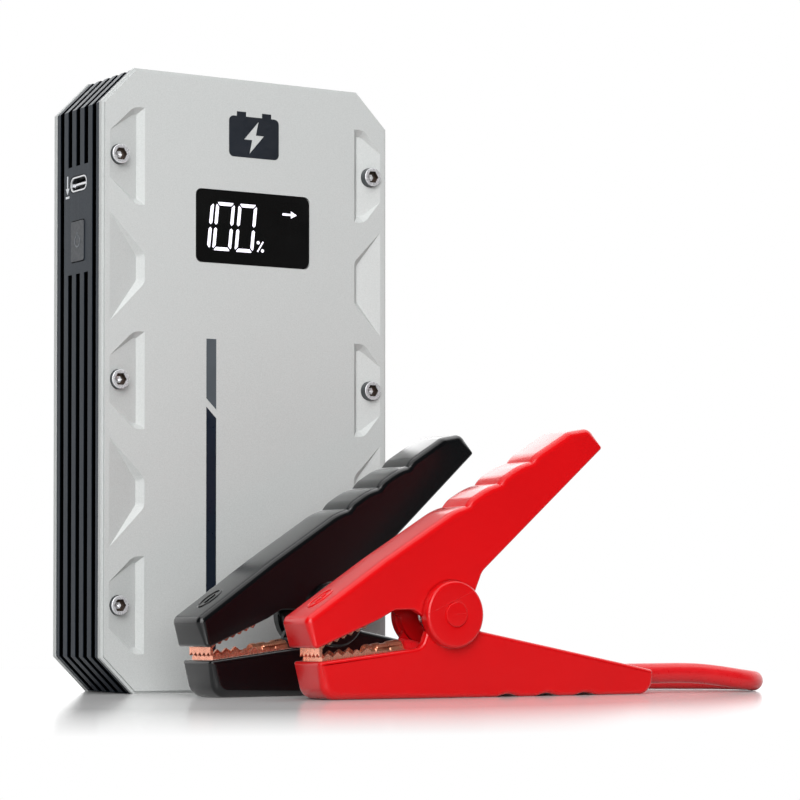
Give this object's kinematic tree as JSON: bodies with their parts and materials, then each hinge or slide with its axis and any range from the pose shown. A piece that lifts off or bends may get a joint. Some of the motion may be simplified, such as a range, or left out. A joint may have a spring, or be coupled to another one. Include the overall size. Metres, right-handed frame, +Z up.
{
  "type": "jump starter pack",
  "caption": "Slim upright jump starter: silver plates on a ribbed frame with screws and a percent display, plus red and black battery clamps on leads to one plug.",
  "frame": {"origin": "middle of the pack's base, on the surface it stands on", "axes": "+Z up, the display faces -Y, +X to the right of the display and out of the output socket; the clamps lie in front on the same surface"},
  "size_m": [0.2069, 0.1761, 0.2],
  "materials": {
    "plate_silver": "fine bead-blasted, silver anodised",
    "frame_anodised": "ribbed extrusion, gunmetal anodised, satin",
    "seal_rubber": "matt gasket",
    "screw_steel": "bright turned steel",
    "spring_steel": "bright spring wire",
    "badge_ink": "printed mark",
    "stripe_grey": "printed stripe",
    "stripe_navy": "printed stripe",
    "lens_black": "tinted acrylic window, glossy",
    "digit_white": "lit bars of the display",
    "module_black": "moulded",
    "board_green": "solder-masked circuit board",
    "chip_black": "moulded parts",
    "heat_sink": "bare, extruded",
    "shell_metal": "plated steel shell",
    "button_grey": "satin moulded",
    "mark_pale": "printed mark",
    "mark_dark": "moulded mark",
    "socket_black": "glass-filled moulding",
    "contact_gold": "plated",
    "cover_rubber": "soft flap",
    "bus_copper": "copper strip",
    "cell_foil": "foil pouch",
    "tray_black": "moulded tray",
    "clamp_red": "moulded, semi-gloss",
    "clamp_black": "moulded, semi-gloss",
    "jaw_copper": "copper-plated sheet",
    "crimp_copper": "copper crimp sleeve",
    "lead_red": "silicone sleeve, satin",
    "lead_black": "silicone sleeve, satin",
    "plug_blue": "moulded nylon"
  },
  "bodies": {
    "pack": {"front_plate": "plate_silver", "rear_plate": "plate_silver", "side_frame": "frame_anodised", "cover_ears": "frame_anodised", "front_gasket": "seal_rubber", "rear_gasket": "seal_rubber", "front_screws": "screw_steel", "rear_screws": "screw_steel", "front_badge": "badge_ink", "port_mark": "mark_pale", "front_stripe": "stripe_grey", "lower_stripe": "stripe_navy", "display_lens": "lens_black", "display_digits": "digit_white", "display_module": "module_black", "main_board": "board_green", "side_board": "board_green", "board_parts": "chip_black", "heat_sink": "heat_sink", "usb_c_port": "shell_metal", "usb_a_port": "shell_metal", "button_switch": "module_black", "output_socket": "socket_black", "socket_contacts": "contact_gold", "cover_pin": "screw_steel", "bus_bars": "bus_copper", "cell_1": "cell_foil", "cell_2": "cell_foil", "cell_3": "cell_foil", "cell_4": "cell_foil", "cell_tray": "tray_black", "red_lower_arm": "clamp_red", "red_pivot_pin": "screw_steel", "red_lower_jaw": "jaw_copper", "red_spring": "spring_steel", "red_crimp": "crimp_copper", "red_lead_tail": "lead_red", "red_lead": "lead_red", "black_lower_arm": "clamp_black", "black_pivot_pin": "screw_steel", "black_lower_jaw": "jaw_copper", "black_spring": "spring_steel", "black_crimp": "crimp_copper", "black_lead_tail": "lead_black", "black_lead": "lead_black", "plug_housing": "plug_blue", "plug_boot": "cover_rubber", "plug_pins": "contact_gold"},
    "button": {"power_button": "button_grey", "button_mark": "mark_dark"},
    "cover": {"port_cover": "cover_rubber"},
    "red_upper": {"red_upper_arm": "clamp_red", "red_upper_jaw": "jaw_copper"},
    "black_upper": {"black_upper_arm": "clamp_black", "black_upper_jaw": "jaw_copper"}
  },
  "joints": [
    {"name": "button_press", "type": "slide", "parent": "pack", "child": "button", "axis": [1, 0, 0], "range_m": [0, 0.0008], "stiffness_N_per_m": 1200, "springref_m": -0.0015},
    {"name": "cover_hinge", "type": "hinge", "parent": "pack", "child": "cover", "pos_m": [0.0547, 0, 0.1602], "axis": [0, -1, 0], "range_deg": [0, 120]},
    {"name": "red_clamp", "type": "hinge", "parent": "pack", "child": "red_upper", "pos_m": [0.0235, -0.09525, 0.0254], "axis": [0, 1, 0], "range_deg": [0, 50], "stiffness_Nm_per_rad": 0.8, "springref_deg": -63.03, "deforming": ["red_spring"]},
    {"name": "black_clamp", "type": "hinge", "parent": "pack", "child": "black_upper", "pos_m": [0.006, -0.05325, 0.0254], "axis": [-0.1045, 0.9945, 0], "range_deg": [0, 50], "stiffness_Nm_per_rad": 0.8, "springref_deg": -63.03, "deforming": ["black_spring"]}
  ]
}
